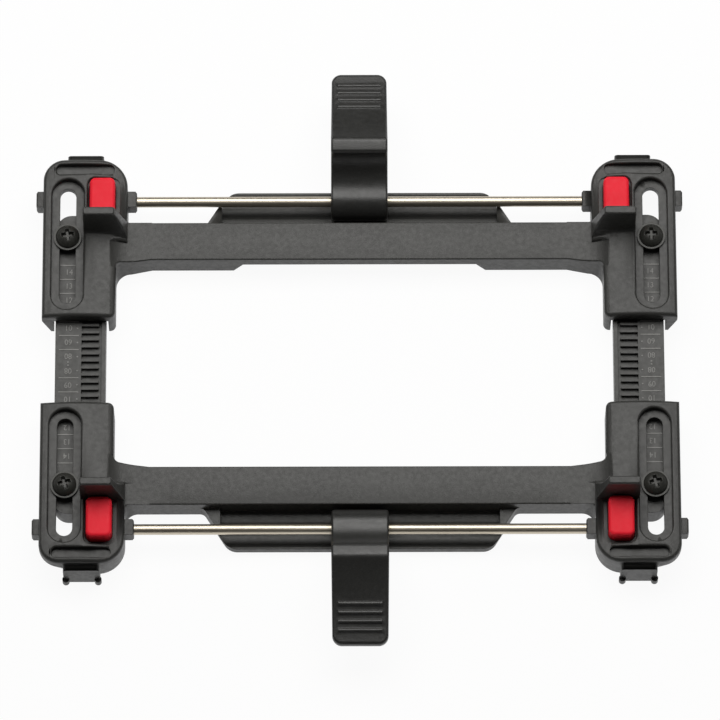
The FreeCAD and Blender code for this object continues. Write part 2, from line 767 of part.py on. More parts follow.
def make_ridges(lever):
    """Half-round ridges across the thumb plate, turned about the centre of its arc."""
    ridge = new_sketch(lever, "ridge", "YZ_Plane")
    bind(ridge, "AttachmentOffset.Base.x", "thumb_centre_out")
    bind(ridge, "AttachmentOffset.Base.y", "thumb_centre_up")
    along = "(thumb_centre_out - thumb_reach + ridge_inset)"
    depth = "(thumb_radius + ridge_radius - ridge_height)"
    circle(ridge, f"-{along}", f"-sqrt({depth} ^ 2 - {along} ^ 2)", "ridge_radius")
    first = pad(lever, ridge, "ridge_length", both_ways=True)
    ridges = lever.newObject("PartDesign::PolarPattern", f"{lever.Name}_ridges")
    ridges.Originals = [first]
    ridges.Axis = (ridge, ["N_Axis"])
    ridges.Reversed = True
    ridges.Occurrences = LEVER_RIDGES
    bind(ridges, "Angle", f"{LEVER_RIDGES - 1} * ridge_pitch / thumb_radius * 180 / pi")
    lever.Tip = ridges
    doc.recompute()


def make_scale_bar(name, end):
    """Toothed scale bar with a ribbed hollow below and a pilot hole for each screw."""
    bar = new_body(name, f"{end} * {BAR_X}", turn=0.0 if end > 0 else 180.0)
    plan = new_sketch(bar, "plan", "XY_Plane")
    half_sides = ("-bar_width / 2", "bar_width / 2", "-bar_length / 2", "bar_length / 2")
    rounded_rectangle(plan, *half_sides, "bar_corner")
    pad(bar, plan, "bar_height")

    pitch = f"(bar_hollow_length / {BAR_CELLS})"
    cell_ends = ("bar_rib / 2 - bar_hollow_length / 2", f"{pitch} - bar_rib / 2 - bar_hollow_length / 2")
    cell = new_sketch(bar, "cell", "XY_Plane")
    rectangle(cell, "-bar_width / 2 + bar_wall", "bar_width / 2 - bar_wall", *cell_ends)
    cut = pocket(bar, cell, "bar_height - bar_skin", backwards=True)
    in_a_row(bar, cut, "Y_Axis", f"{pitch} * {BAR_CELLS - 1}", BAR_CELLS)

    pilots = new_sketch(bar, "pilots", "XY_Plane")
    for sign in "-+":
        circle(pilots, "screw_offset", f"{sign}{SCREW_Y}", "shank_diameter / 2 + pilot_play")
    pocket(bar, pilots, backwards=True)

    rows = int(value("(bar_length / 2 - tooth_margin) / tooth_pitch"))
    tooth = new_sketch(bar, "tooth", "XY_Plane", "bar_height - tooth_depth")
    tooth_start = "-bar_width / 2 + tooth_edge"
    first = f"-{rows} * tooth_pitch"
    tooth_sides = (tooth_start, f"{tooth_start} + tooth_width")
    rectangle(tooth, *tooth_sides, f"{first} - tooth_gap / 2", f"{first} + tooth_gap / 2")
    gap = pocket(bar, tooth, backwards=True)
    in_a_row(bar, gap, "Y_Axis", f"{2 * rows} * tooth_pitch", 2 * rows + 1)
    channel = new_sketch(bar, "channel", "XY_Plane", "bar_height - tooth_depth")
    channel_sides = (tooth_start, f"{tooth_start} + tooth_channel")
    rectangle(channel, *channel_sides, first, f"{rows} * tooth_pitch")
    pocket(bar, channel, backwards=True)
    return bar


def make_screw(name, x, y, turn):
    """Pan-head screw with a cross recess, resting on its washer."""
    screw = new_body(name, x, y, f"{SLOT_FLOOR} + seat_play + washer_thickness", turn)
    half = new_sketch(screw, "half", "XZ_Plane")
    head_radius = "head_diameter / 2"
    dome = "head_height - head_rim"
    dome_radius = f"(({head_radius}) ^ 2 + ({dome}) ^ 2) / (2 * ({dome}))"
    outline(half, [
        ("0", "-shank_length"),
        ("shank_diameter / 2", "-shank_length"),
        ("shank_diameter / 2", "0"),
        (head_radius, "0"),
        (head_radius, "head_rim"),
        ("0", "head_height"),
    ], {4: dome_radius})
    turned = screw.newObject("PartDesign::Revolution", f"{name}_turned")
    turned.Profile = half
    turned.ReferenceAxis = (half, ["V_Axis"])
    doc.recompute()
    for label, turned_over in (("long", False), ("cross", True)):
        sections = []
        for level, height, span, width in (
            ("floor", "head_height - recess_depth", "recess_floor_span", "recess_floor_width"),
            ("mouth", "head_height", "recess_span", "recess_width"),
        ):
            along, across = (width, span) if turned_over else (span, width)
            sketch = new_sketch(screw, f"{label}_{level}", "XY_Plane", height)
            rectangle(sketch, f"-{along} / 2", f"{along} / 2", f"-{across} / 2", f"{across} / 2")
            sections.append(sketch)
        loft(screw, f"{label}_slot", *sections, kind="Subtractive")
    return screw


def make_washer(name, x, y):
    washer = new_body(name, x, y, f"{SLOT_FLOOR} + seat_play")
    ring = new_sketch(washer, "ring", "XY_Plane")
    circle(ring, "0", "0", "washer_diameter / 2")
    circle(ring, "0", "0", "shank_diameter / 2 + washer_play")
    pad(washer, ring, "washer_thickness")
    return washer


def make_adapter():
    pieces = []
    for end_name, end in ENDS.items():
        pieces.append(make_scale_bar(f"{end_name}_scale_bar", end))
    for side_name, side in SIDES.items():
        pieces.append(make_frame(f"{side_name}_frame", side))
        pieces.append(make_rod(f"{side_name}_spring_rod", side))
        pieces.append(make_lever(f"{side_name}_lever", side))
        for end_name, end in ENDS.items():
            corner = f"{side_name}_{end_name}"
            spot = (f"{end} * {SLOT_X}", f"{side} * {SCREW_Y}")
            pieces.append(make_pad(f"{corner}_pad", side, end))
            pieces.append(make_washer(f"{corner}_washer", *spot))
            pieces.append(make_screw(f"{corner}_screw", *spot, SCREW_TURNS[corner]))
    return pieces


def check_document(pieces):
    for thing in doc.Objects:
        if {"Invalid", "Error"} & set(thing.State):
            raise RuntimeError(f"{thing.Name} failed: {thing.State}")
    for piece in pieces:
        if piece.Shape.isNull() or not piece.Shape.isValid() or len(piece.Shape.Solids) != 1:
            raise RuntimeError(f"{piece.Label} isn't one valid solid")


adapter = make_adapter()
doc.recompute()
check_document(adapter)
os.makedirs("parts", exist_ok=True)
for node in adapter:
    node.Shape.exportStep(f"parts/{node.Label}.step")
    print(f"{node.Label}: {node.Shape.Volume:.0f} mm3")
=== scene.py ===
"""Finishes, rounded mouldings, scale marks, studio light and camera for the clip-on rack adapter."""
import math

import bmesh
import bpy
from mathutils import Matrix, Vector


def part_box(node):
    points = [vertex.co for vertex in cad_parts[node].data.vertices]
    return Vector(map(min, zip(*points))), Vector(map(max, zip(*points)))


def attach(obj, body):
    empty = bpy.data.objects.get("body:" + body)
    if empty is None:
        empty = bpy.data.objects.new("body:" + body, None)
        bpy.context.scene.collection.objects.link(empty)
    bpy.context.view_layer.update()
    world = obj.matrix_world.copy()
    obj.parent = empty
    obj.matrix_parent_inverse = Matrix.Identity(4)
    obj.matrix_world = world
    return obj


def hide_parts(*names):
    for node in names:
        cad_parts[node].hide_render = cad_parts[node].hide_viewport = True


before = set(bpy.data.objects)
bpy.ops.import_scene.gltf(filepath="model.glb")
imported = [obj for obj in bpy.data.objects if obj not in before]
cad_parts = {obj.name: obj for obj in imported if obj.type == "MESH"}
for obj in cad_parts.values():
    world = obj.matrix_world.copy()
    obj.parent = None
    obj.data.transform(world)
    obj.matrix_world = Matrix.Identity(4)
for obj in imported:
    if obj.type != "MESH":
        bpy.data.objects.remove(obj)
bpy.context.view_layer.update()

MM = 0.001
SIDES = {"left": 1, "right": -1}
ENDS = {"front": 1, "rear": -1}
CORNERS = [f"{side}_{end}" for side in SIDES for end in ENDS]


# Finishes: colours are linear, pattern scales are in cycles a metre

GLOSS_SWING = 0.06


def add_node(tree, kind, **settings):
    """A shader node with its properties and unlinked sockets set by name."""
    made = tree.nodes.new(kind)
    for name, setting in settings.items():
        if name in made.inputs:
            made.inputs[name].default_value = setting
        else:
            setattr(made, name, setting)
    return made


def link(tree, source, target):
    tree.links.new(source, target)


def start_finish(name):
    """An empty finish: its tree, its shader and the object's own coordinates."""
    finish = bpy.data.materials.new(name)
    finish.use_nodes = True
    tree = finish.node_tree
    tree.nodes.clear()
    shader = add_node(tree, "ShaderNodeBsdfPrincipled")
    output = add_node(tree, "ShaderNodeOutputMaterial")
    link(tree, shader.outputs["BSDF"], output.inputs["Surface"])
    place = add_node(tree, "ShaderNodeTexCoord").outputs["Object"]
    return finish, tree, shader, place


def speckle(tree, place, scale, detail=2.0, roughness=0.5):
    """Noise of the given scale, in cycles a metre."""
    noise = add_node(tree, "ShaderNodeTexNoise", Scale=scale, Detail=detail, Roughness=roughness)
    link(tree, place, noise.inputs["Vector"])
    return noise.outputs["Fac"]


def spread(tree, source, low, high, start=0.3, stop=0.7):
    """Stretch a pattern's middle range to run from low to high."""
    stretch = add_node(tree, "ShaderNodeMapRange")
    stretch.inputs["From Min"].default_value = start
    stretch.inputs["From Max"].default_value = stop
    stretch.inputs["To Min"].default_value = low
    stretch.inputs["To Max"].default_value = high
    link(tree, source, stretch.inputs["Value"])
    return stretch.outputs["Result"]


def between(tree, share, first, second):
    """Colour that runs from first to second with the share; either may be a socket."""
    mix = add_node(tree, "ShaderNodeMix", data_type="RGBA")
    link(tree, share, mix.inputs["Factor"])
    for socket, colour in ((mix.inputs[6], first), (mix.inputs[7], second)):
        if isinstance(colour, bpy.types.NodeSocket):
            link(tree, colour, socket)
        else:
            socket.default_value = (*colour, 1.0)
    return mix.outputs[2]


def soften_edges(tree, width):
    """Normal rounded off over the width at a piece's edges, as a moulded or rolled edge is."""
    return add_node(tree, "ShaderNodeBevel", samples=4, Radius=width).outputs["Normal"]


def edge_sheen_and_wear(tree, rounded):
    """Share that is high along the edges of a piece: on the plastics a painted highlight along the rims, on the
    screws wear where handling rubs them.
    """
    plain = add_node(tree, "ShaderNodeNewGeometry").outputs["Normal"]
    turn = add_node(tree, "ShaderNodeVectorMath", operation="DOT_PRODUCT")
    link(tree, rounded, turn.inputs[0])
    link(tree, plain, turn.inputs[1])
    return spread(tree, turn.outputs["Value"], 1.0, 0.0, start=0.80, stop=0.97)


def raise_grain(tree, shader, source, height, strength, rounded):
    """Bump of a pattern over the rounded normal."""
    bump = add_node(tree, "ShaderNodeBump", Strength=strength, Distance=height)
    link(tree, source, bump.inputs["Height"])
    link(tree, rounded, bump.inputs["Normal"])
    link(tree, bump.outputs["Normal"], shader.inputs["Normal"])


def moulded_nylon(name, dark, light, fleck_and_edge_sheen, roughness, grain, edge=0.35 * MM, shine=0.40):
    """Black-grey moulded plastic: spark-eroded grain, flow clouding, and edges lightened over a given width as a
    painted highlight along the rims.
    """
    finish, tree, shader, place = start_finish(name)
    cloud = spread(tree, speckle(tree, place, 45.0, detail=3.0), 0.0, 1.0)
    fine = speckle(tree, place, grain, detail=3.0, roughness=0.6)
    tone = between(tree, cloud, dark, light)
    fleck = spread(tree, fine, 0.0, 0.35, start=0.5, stop=0.8)
    tone = between(tree, fleck, tone, fleck_and_edge_sheen)
    rounded = soften_edges(tree, edge)
    uneven = spread(tree, speckle(tree, place, 260.0), 0.15, 0.6)
    # Edges lightened towards the lighter colour and broken up unevenly: a painted highlight along the rims
    edge_sheen = add_node(tree, "ShaderNodeMath", operation="MULTIPLY")
    link(tree, edge_sheen_and_wear(tree, rounded), edge_sheen.inputs[0])
    link(tree, uneven, edge_sheen.inputs[1])
    tone = between(tree, edge_sheen.outputs["Value"], tone, fleck_and_edge_sheen)
    link(tree, tone, shader.inputs["Base Color"])
    shader.inputs["Specular IOR Level"].default_value = shine
    gloss = spread(tree, speckle(tree, place, 700.0), roughness - GLOSS_SWING, roughness + GLOSS_SWING)
    link(tree, gloss, shader.inputs["Roughness"])
    raise_grain(tree, shader, fine, height=0.05 * MM, strength=0.7, rounded=rounded)
    return finish


def drawn_steel(name):
    """Bright spring steel with fine drawing lines along its length."""
    finish, tree, shader, place = start_finish(name)
    along = add_node(tree, "ShaderNodeMapping")
    along.inputs["Scale"].default_value = (18.0, 2600.0, 2600.0)
    link(tree, place, along.inputs["Vector"])
    lines = speckle(tree, along.outputs["Vector"], 1.0, detail=3.0)
    tone = between(tree, spread(tree, lines, 0.0, 1.0), (0.55, 0.49, 0.395), (0.73, 0.665, 0.55))
    link(tree, tone, shader.inputs["Base Color"])
    shader.inputs["Metallic"].default_value = 1.0
    link(tree, spread(tree, lines, 0.33, 0.46), shader.inputs["Roughness"])
    raise_grain(tree, shader, lines, height=0.01 * MM, strength=0.25, rounded=soften_edges(tree, 0.2 * MM))
    return finish


def pad_rubber(name):
    """Saturated red soft rubber, satin, with a fine moulded texture."""
    finish, tree, shader, place = start_finish(name)
    cloud = spread(tree, speckle(tree, place, 130.0, detail=3.0), 0.0, 1.0)
    fine = speckle(tree, place, 3600.0, detail=2.0)
    tone = between(tree, cloud, (0.84, 0.013, 0.030), (0.91, 0.017, 0.038))
    link(tree, tone, shader.inputs["Base Color"])
    shader.inputs["Specular IOR Level"].default_value = 0.22
    link(tree, spread(tree, speckle(tree, place, 900.0), 0.50, 0.62), shader.inputs["Roughness"])
    raise_grain(tree, shader, fine, height=0.03 * MM, strength=0.3, rounded=soften_edges(tree, 0.3 * MM))
    return finish


def blackened_steel(name):
    """Black-finished fastener steel, with bare metal showing at worn edges."""
    finish, tree, shader, place = start_finish(name)
    fine = speckle(tree, place, 2400.0, detail=3.0)
    tone = between(tree, spread(tree, fine, 0.0, 1.0), (0.024, 0.024, 0.021), (0.040, 0.040, 0.035))
    rounded = soften_edges(tree, 0.25 * MM)
    tone = between(tree, edge_sheen_and_wear(tree, rounded), tone, (0.09, 0.09, 0.086))
    link(tree, tone, shader.inputs["Base Color"])
    shader.inputs["Metallic"].default_value = 0.2
    link(tree, spread(tree, fine, 0.34, 0.50), shader.inputs["Roughness"])
    raise_grain(tree, shader, fine, height=0.02 * MM, strength=0.3, rounded=rounded)
    return finish


frame_finish = moulded_nylon(
    "frame_nylon", dark=(0.031, 0.031, 0.029), light=(0.039, 0.039, 0.0365), fleck_and_edge_sheen=(0.090, 0.090, 0.085),
    roughness=0.42, grain=2600.0)
bar_finish = moulded_nylon(
    "bar_nylon", dark=(0.034, 0.034, 0.0315), light=(0.042, 0.042, 0.039), fleck_and_edge_sheen=(0.095, 0.095, 0.089),
    roughness=0.42, grain=3000.0, edge=0.2 * MM)
# The levers' tone is set darker than the frame's: painted shade, standing in for the shade on the levers' hooks
# and plates
lever_finish_shade_darkened = moulded_nylon(
    "lever_nylon_shade_darkened", dark=(0.017, 0.017, 0.016), light=(0.022, 0.022, 0.0205), fleck_and_edge_sheen=(0.075, 0.075, 0.070),
    roughness=0.36, grain=3000.0, edge=0.3 * MM, shine=0.56)
mark_finish = moulded_nylon(
    "rubbed_scale_marks", dark=(0.200, 0.198, 0.190), light=(0.250, 0.248, 0.238), fleck_and_edge_sheen=(0.330, 0.328, 0.318),
    roughness=0.5, grain=3000.0, edge=0.05 * MM)
rod_finish = drawn_steel("drawn_spring_steel")
rubber_finish = pad_rubber("red_pad_rubber")
screw_finish = blackened_steel("blackened_screw_steel")


def dress_node(node, finish):
    """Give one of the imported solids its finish."""
    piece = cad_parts[node]
    for slot in piece.material_slots:
        slot.material = finish
    if not piece.material_slots:
        piece.data.materials.append(finish)


for end in ENDS:
    dress_node(f"{end}_scale_bar", bar_finish)
for side in SIDES:
    dress_node(f"{side}_frame", frame_finish)
    dress_node(f"{side}_lever", lever_finish_shade_darkened)
    dress_node(f"{side}_spring_rod", rod_finish)
for corner in CORNERS:
    dress_node(f"{corner}_pad", rubber_finish)
    dress_node(f"{corner}_washer", screw_finish)
    dress_node(f"{corner}_screw", screw_finish)


def plain_piece(name, mesh):
    """An object for the mesh, lamp or other data, linked to the scene."""
    piece = bpy.data.objects.new(name, mesh)
    bpy.context.scene.collection.objects.link(piece)
    return piece


# Rounded mouldings: the frames and levers again, with the small radii that a mould gives their edges

LEVER_RADIUS = 0.9 * MM
LUG_RADIUS = 0.5 * MM
FLARE_RADIUS = 0.45 * MM
RIM_RADIUS = 0.4 * MM
LAND_RADIUS = 0.75 * MM

# Lever: its hinge line, what stays sharp around it, and how far in the rims and the tip's corners lie
HINGE_Y, HINGE_Z, BORE_REACH = 58.0 * MM, 8.2 * MM, 4.0 * MM
RIM_BAND = 0.8 * MM
TIP_CORNER = 3.5 * MM

# Frame: heights, and distances from the middle along and across the rack
CROWN_TOP = 14.4 * MM
LAND_TOP, LAND_REACH = 12.4 * MM, 5.6 * MM
SLOT_X, SCOOP_START = 97.3 * MM, 68.4 * MM
SLEEVE_INNER, SLEEVE_CREASE, SLEEVE_STEP = 81.3 * MM, 83.3 * MM, 33.2 * MM
SLEEVE_SLOPE = 12.0 * MM
FLARE_START, FLARE_LIMIT = 69.2 * MM, 40.0 * MM
FLARE_LOW, FLARE_HIGH = 9.9 * MM, 12.2 * MM
BAR_CROWN, BAR_FLAT = 0.33 * MM, 10.0 * MM
BAR_INNER, BAR_OUTER, CROWN_STRIPS = 37.05 * MM, 49.45 * MM, 8
CROWN_FADE, CROWN_END = 62.0 * MM, 69.3 * MM

# Tolerances
SHARP_TURN = math.radians(35.0)
FLAT_TURN = math.radians(0.5)
LEVEL = 0.999
WELD, NEAR, SHORT_EDGE = 0.004 * MM, 0.03 * MM, 0.15 * MM


def merged_copy(node):
    """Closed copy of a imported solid, with its flat faces whole again."""
    copy = bmesh.new()
    copy.from_mesh(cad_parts[node].data)
    bmesh.ops.remove_doubles(copy, verts=copy.verts, dist=NEAR)
    bmesh.ops.dissolve_limit(
        copy, angle_limit=FLAT_TURN, use_dissolve_boundaries=False, verts=copy.verts, edges=copy.edges)
    return copy


def midpoint(edge):
    return (edge.verts[0].co + edge.verts[1].co) / 2


def corner_edges(copy):
    """Edges where two faces meet at an outward corner."""
    return [edge for edge in copy.edges if edge.calc_face_angle_signed(0.0) > SHARP_TURN]


def is_brink(edge, level, steep):
    """Whether an edge lies between a face that looks up and a wall."""
    wall, top = sorted(face.normal.z for face in edge.link_faces)
    return top > level and abs(wall) < steep


def round_off(copy, chosen, radius, steps):
    """Round the outward corners that are chosen."""
    edges = [edge for edge in corner_edges(copy) if chosen(edge)]
    bmesh.ops.bevel(
        copy, geom=edges, offset=radius, offset_type="OFFSET", segments=steps, profile=0.5,
        affect="EDGES", clamp_overlap=False)


def moulded_piece(name, copy, node, body, finish):
    """Finish a rounded copy as the piece that stands for its node."""
    bmesh.ops.remove_doubles(copy, verts=copy.verts, dist=WELD)
    bmesh.ops.dissolve_degenerate(copy, dist=WELD, edges=copy.edges)
    for face in copy.faces:
        face.smooth = True
        face.material_index = 0
    mesh = bpy.data.meshes.new(name)
    copy.to_mesh(mesh)
    copy.free()
    mesh.set_sharp_from_angle(angle=SHARP_TURN)
    mesh.materials.clear()
    mesh.materials.append(finish)
    piece = plain_piece(name, mesh)
    weighted = piece.modifiers.new("flat_faces_lead", "WEIGHTED_NORMAL")
    weighted.keep_sharp = True
    shaded = piece.evaluated_get(bpy.context.evaluated_depsgraph_get())
    piece.data = bpy.data.meshes.new_from_object(shaded)
    piece.data.name = name
    piece.modifiers.remove(weighted)
    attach(piece, body)
    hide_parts(node)


def round_lever(side):
    """Lever with rounded rims, knee and tip; the bore's and the ridges' edges stay."""
    node = f"{side}_lever"
    copy = merged_copy(node)
    low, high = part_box(node)
    tip = max(abs(low.y), abs(high.y))
    half_width = high.x

    def on_rim(edge):
        middle = midpoint(edge)
        reach = max(abs(corner.co.x) for corner in edge.verts)
        upright = min(abs(face.normal.z) for face in edge.link_faces) < 0.1
        from_bore = math.hypot(abs(middle.y) - HINGE_Y, middle.z - HINGE_Z)
        if from_bore < BORE_REACH:
            return False
        return reach > half_width - RIM_BAND or (upright and abs(middle.y) > tip - TIP_CORNER)

    round_off(copy, on_rim, LEVER_RADIUS, 3)
    moulded_piece(f"{side}_moulded_lever", copy, node, node, lever_finish_shade_darkened)


def close_step(copy, sign):
    """Run the sleeve's rounded edge down into the slope beside it, so that no step is left between them."""
    def on_slope(point):
        return any(face.normal.z > 0.8 and abs(face.normal.y) < 0.01
                   and sign * face.calc_center_median().y > SLEEVE_STEP for face in point.link_faces)

    step = [point for point in copy.verts
            if abs(sign * point.co.y - SLEEVE_STEP) < NEAR and point.co.z > SLEEVE_SLOPE
            and SLEEVE_INNER - NEAR < abs(point.co.x) < SLEEVE_CREASE + NEAR]
    for end in ENDS.values():
        here = [point for point in step if point.co.x * end > 0]
        slope = sorted(filter(on_slope, here), key=lambda point: abs(point.co.x))
        for point in here:
            if point in slope:
                continue
            for first, second in zip(slope, slope[1:]):
                if abs(first.co.x) <= abs(point.co.x) <= abs(second.co.x):
                    share = (abs(point.co.x) - abs(first.co.x)) / (abs(second.co.x) - abs(first.co.x))
                    point.co.z = first.co.z + share * (second.co.z - first.co.z)


def bar_top(copy, sign, reach):
    """Faces of the cross-bar's level top that lie within a reach of its middle."""
    def on_top(face):
        middle = face.calc_center_median()
        return (face.normal.z > LEVEL and abs(middle.z - BAR_FLAT) < NEAR and abs(middle.x) < reach
                and BAR_INNER < sign * middle.y < BAR_OUTER)

    return [face for face in copy.faces if on_top(face)]


def cut_faces(copy, faces, place, direction):
    """Cut some faces along a plane, with each of their corners and edges listed once."""
    corners = dict.fromkeys(corner for face in faces for corner in face.verts)
    edges = dict.fromkeys(edge for face in faces for edge in face.edges)
    bmesh.ops.bisect_plane(
        copy, geom=[*corners, *edges, *faces], dist=NEAR / 10, plane_co=place, plane_no=direction)


def crown_bar(copy, sign):
    """Crown the cross-bar's flat top a little between its flared ends."""
    for place in (-CROWN_END, -CROWN_FADE, CROWN_FADE, CROWN_END):
        cut_faces(copy, bar_top(copy, sign, SLEEVE_INNER), (place, 0.0, 0.0), (1.0, 0.0, 0.0))
    width = BAR_OUTER - BAR_INNER
    for strip in range(1, CROWN_STRIPS):
        place = sign * (BAR_INNER + strip * width / CROWN_STRIPS)
        cut_faces(copy, bar_top(copy, sign, CROWN_END), (0.0, place, 0.0), (0.0, 1.0, 0.0))
    for point in copy.verts:
        across = 2 * (sign * point.co.y - BAR_INNER) / width - 1
        if abs(point.co.z - BAR_FLAT) < NEAR and abs(across) < 1 and abs(point.co.x) < CROWN_END:
            fade = min(1.0, (CROWN_END - abs(point.co.x)) / (CROWN_END - CROWN_FADE))
            point.co.z += BAR_CROWN * (1 - across ** 2) * fade
    copy.normal_update()


def round_frame(side, sign):
    """Frame with rounded lugs, flares and rims, a crowned bar, and sleeves run smoothly into the bar."""
    node = f"{side}_frame"
    copy = merged_copy(node)
    close_step(copy, sign)
    crown_bar(copy, sign)

    def on_lug(edge):
        return min(corner.co.z for corner in edge.verts) > CROWN_TOP

    def on_flare(edge):
        middle = midpoint(edge)
        return (FLARE_START < abs(middle.x) < SLEEVE_INNER + NEAR and FLARE_LOW < middle.z < FLARE_HIGH
                and sign * middle.y < FLARE_LIMIT and is_brink(edge, level=0.85, steep=0.2))

    def on_rim(edge):
        middle = midpoint(edge)
        return (abs(middle.x) > SLEEVE_CREASE and LAND_TOP < middle.z < CROWN_TOP
                and is_brink(edge, level=0.9, steep=0.3))

    def on_land(edge):
        middle = midpoint(edge)
        return on_rim(edge) and abs(abs(middle.x) - SLOT_X) < LAND_REACH and sign * middle.y < SCOOP_START

    shore = dict.fromkeys(corner for edge in corner_edges(copy) if on_land(edge) for corner in edge.verts)
    bmesh.ops.remove_doubles(copy, verts=list(shore), dist=SHORT_EDGE)
    round_off(copy, on_land, LAND_RADIUS, 3)
    round_off(copy, on_rim, RIM_RADIUS, 2)
    round_off(copy, on_flare, FLARE_RADIUS, 3)
    round_off(copy, on_lug, LUG_RADIUS, 2)
    moulded_piece(f"{side}_moulded_frame", copy, node, node, frame_finish)


for side, sign in SIDES.items():
    round_lever(side)
    round_frame(side, sign)


# Scale marks on the bars

BAR_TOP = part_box("front_scale_bar")[1].z
MARK_HEIGHT = 0.14 * MM
MARK_PITCH = 5.0 * MM
LINE_COUNT = 7
LINE_INNER, LINE_OUTER = 93.3 * MM, 99.9 * MM
LINE_WIDTH = 0.34 * MM
NUMBER_X = 96.8 * MM
NUMBER_SIZE, NUMBER_WIDTH = 2.75 * MM, 0.92
FIRST_NUMBER = 8
MARK_SINK = 0.02 * MM
DOT_SIZE, DOT_PITCH = 0.5 * MM, 1.1 * MM
PIP_SIZE = 0.45 * MM


def mark_row_tree(name):
    """Tree for a row of small raised blocks; count, pitch and the block's size are inputs."""
    tree = bpy.data.node_groups.new(name, "GeometryNodeTree")
    face = tree.interface
    face.new_socket("Geometry", in_out="INPUT", socket_type="NodeSocketGeometry")
    face.new_socket("Count", in_out="INPUT", socket_type="NodeSocketInt")
    face.new_socket("First", in_out="INPUT", socket_type="NodeSocketVector")
    face.new_socket("Pitch", in_out="INPUT", socket_type="NodeSocketVector")
    face.new_socket("Block", in_out="INPUT", socket_type="NodeSocketVector")
    face.new_socket("Finish", in_out="INPUT", socket_type="NodeSocketMaterial")
    face.new_socket("Geometry", in_out="OUTPUT", socket_type="NodeSocketGeometry")
    given = tree.nodes.new("NodeGroupInput")
    row = tree.nodes.new("GeometryNodeMeshLine")
    block = tree.nodes.new("GeometryNodeMeshCube")
    copies = tree.nodes.new("GeometryNodeInstanceOnPoints")
    realized = tree.nodes.new("GeometryNodeRealizeInstances")
    finished = tree.nodes.new("GeometryNodeSetMaterial")
    made = tree.nodes.new("NodeGroupOutput")
    link(tree, given.outputs["Count"], row.inputs["Count"])
    link(tree, given.outputs["First"], row.inputs["Start Location"])
    link(tree, given.outputs["Pitch"], row.inputs["Offset"])
    link(tree, given.outputs["Block"], block.inputs["Size"])
    link(tree, row.outputs["Mesh"], copies.inputs["Points"])
    link(tree, block.outputs["Mesh"], copies.inputs["Instance"])
    link(tree, copies.outputs["Instances"], realized.inputs["Geometry"])
    link(tree, realized.outputs["Geometry"], finished.inputs["Geometry"])
    link(tree, given.outputs["Finish"], finished.inputs["Material"])
    link(tree, finished.outputs["Geometry"], made.inputs["Geometry"])
    return tree


def grow_mesh(name, tree, inputs):
    """Run a tree on an empty mesh, set its named inputs and keep the plain mesh."""
    seed = plain_piece(f"{name}_seed", bpy.data.meshes.new(f"{name}_seed"))
    modifier = seed.modifiers.new("row", "NODES")
    modifier.node_group = tree
    for item in tree.interface.items_tree:
        if item.in_out == "INPUT" and item.name in inputs:
            modifier[item.identifier] = inputs[item.name]
    grown = seed.evaluated_get(bpy.context.evaluated_depsgraph_get())
    mesh = bpy.data.meshes.new_from_object(grown)
    seed.modifiers.remove(modifier)
    bpy.data.objects.remove(seed)
    mesh.name = name
    return mesh


def number_mesh(number, where, turn):
    """A two-digit number as a low raised mesh on the bar's top."""
    words = bpy.data.curves.new("scale_number", "FONT")
    words.body = f"{number:02d}"
    words.size = NUMBER_SIZE
    words.align_x, words.align_y = "CENTER", "CENTER"
    words.extrude = MARK_HEIGHT / 2
    words.resolution_u = 4
    holder = plain_piece("scale_number", words)
    mesh = bpy.data.meshes.new_from_object(holder.evaluated_get(bpy.context.evaluated_depsgraph_get()))
    bpy.data.objects.remove(holder)
    narrow = Matrix.Diagonal((NUMBER_WIDTH, 1.0, 1.0, 1.0))
    mesh.transform(Matrix.Translation(where) @ Matrix.Rotation(turn, 4, "Z") @ narrow)
    return mesh


def one_piece(name, meshes, finish):
    """Join plain meshes to one piece with outward faces."""
    joined = bmesh.new()
    for mesh in meshes:
        joined.from_mesh(mesh)
        bpy.data.meshes.remove(mesh)
    bmesh.ops.remove_doubles(joined, verts=joined.verts, dist=1e-7)
    bmesh.ops.recalc_face_normals(joined, faces=joined.faces)
    mesh = bpy.data.meshes.new(name)
    joined.to_mesh(mesh)
    joined.free()
    mesh.materials.clear()
    mesh.materials.append(finish)
    for face in mesh.polygons:
        face.material_index = 0
    return plain_piece(name, mesh)


